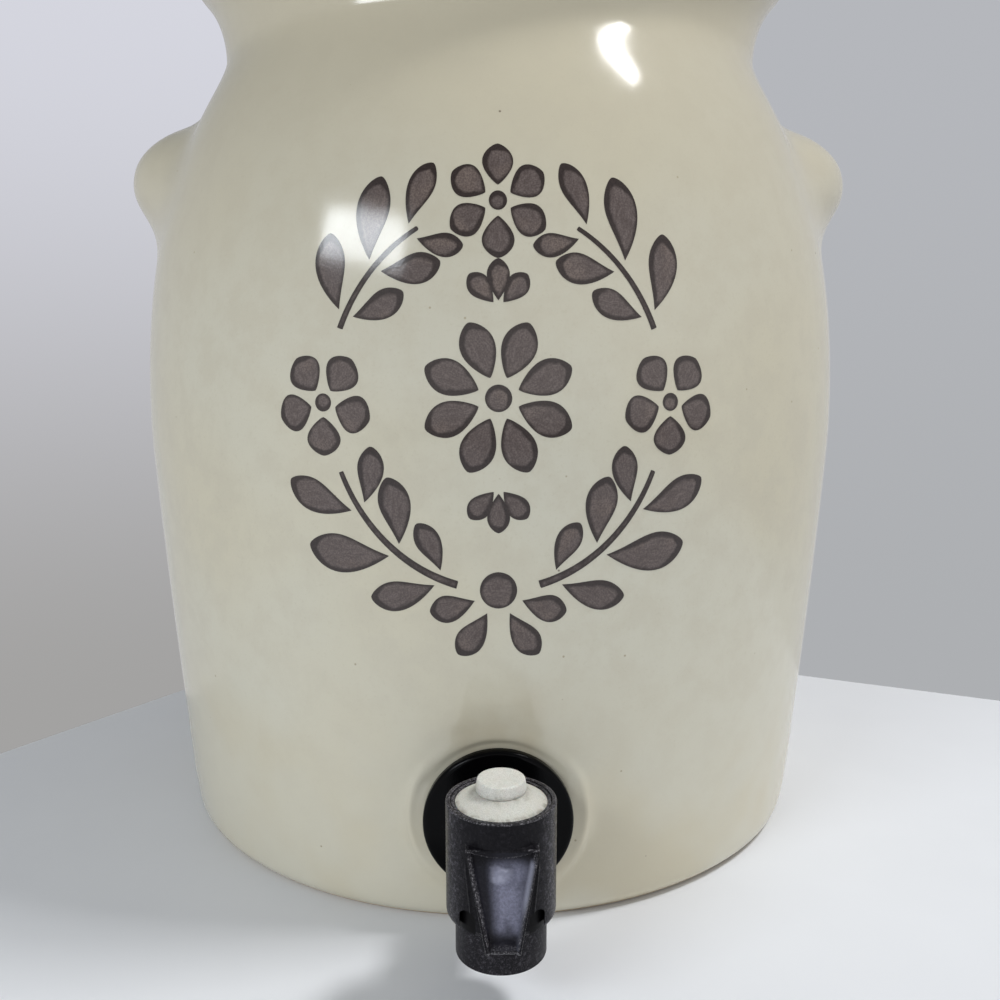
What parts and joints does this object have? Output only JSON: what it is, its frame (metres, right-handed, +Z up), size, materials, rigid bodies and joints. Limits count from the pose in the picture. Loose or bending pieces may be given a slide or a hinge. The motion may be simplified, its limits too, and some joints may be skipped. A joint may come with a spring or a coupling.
{
  "type": "water crock with tap",
  "caption": "Necked stoneware water crock with two lug ears, a loose knobbed lid and a push-button tap near the foot.",
  "frame": {"origin": "centre of the foot, on the plane that the pot stands on", "axes": "+Z up along the pot's axis; the tap points along -Y; the lug ears lie along +X and -X"},
  "size_m": [0.254, 0.2887, 0.3263],
  "materials": {
    "glaze": "satin gloss cream glaze",
    "brown_slip": "brushed brown slip under the glaze",
    "black_plastic": "moulded, worn at the edges",
    "white_flex": "soft matt, slightly grainy",
    "white_plastic": "matt",
    "seal_rubber": "matt",
    "spring_steel": "bright drawn wire"
  },
  "bodies": {
    "crock": {"crock_pot": "glaze", "tap_barrel": "black_plastic", "tap_shroud": "black_plastic", "clamp_ring": "black_plastic", "button_diaphragm": "white_flex", "return_spring": "spring_steel", "stem_guide": "white_plastic", "outer_gasket": "seal_rubber", "inner_gasket": "seal_rubber", "slip_washer": "white_plastic", "lock_nut": "black_plastic"},
    "lid": {"pot_lid": "glaze"},
    "button": {"push_button": "white_plastic", "valve_stem": "white_plastic", "valve_disc": "seal_rubber", "disc_retainer": "white_plastic"}
  },
  "joints": [
    {"name": "button_press", "type": "slide", "parent": "crock", "child": "button", "axis": [0, 0, -1], "range_m": [0, 0.004], "stiffness_N_per_m": 700, "deforming": ["return_spring", "button_diaphragm"]},
    {"name": "lid_lift", "type": "slide", "parent": "crock", "child": "lid", "axis": [0, 0, 1], "range_m": [0, 0.06]}
  ]
}
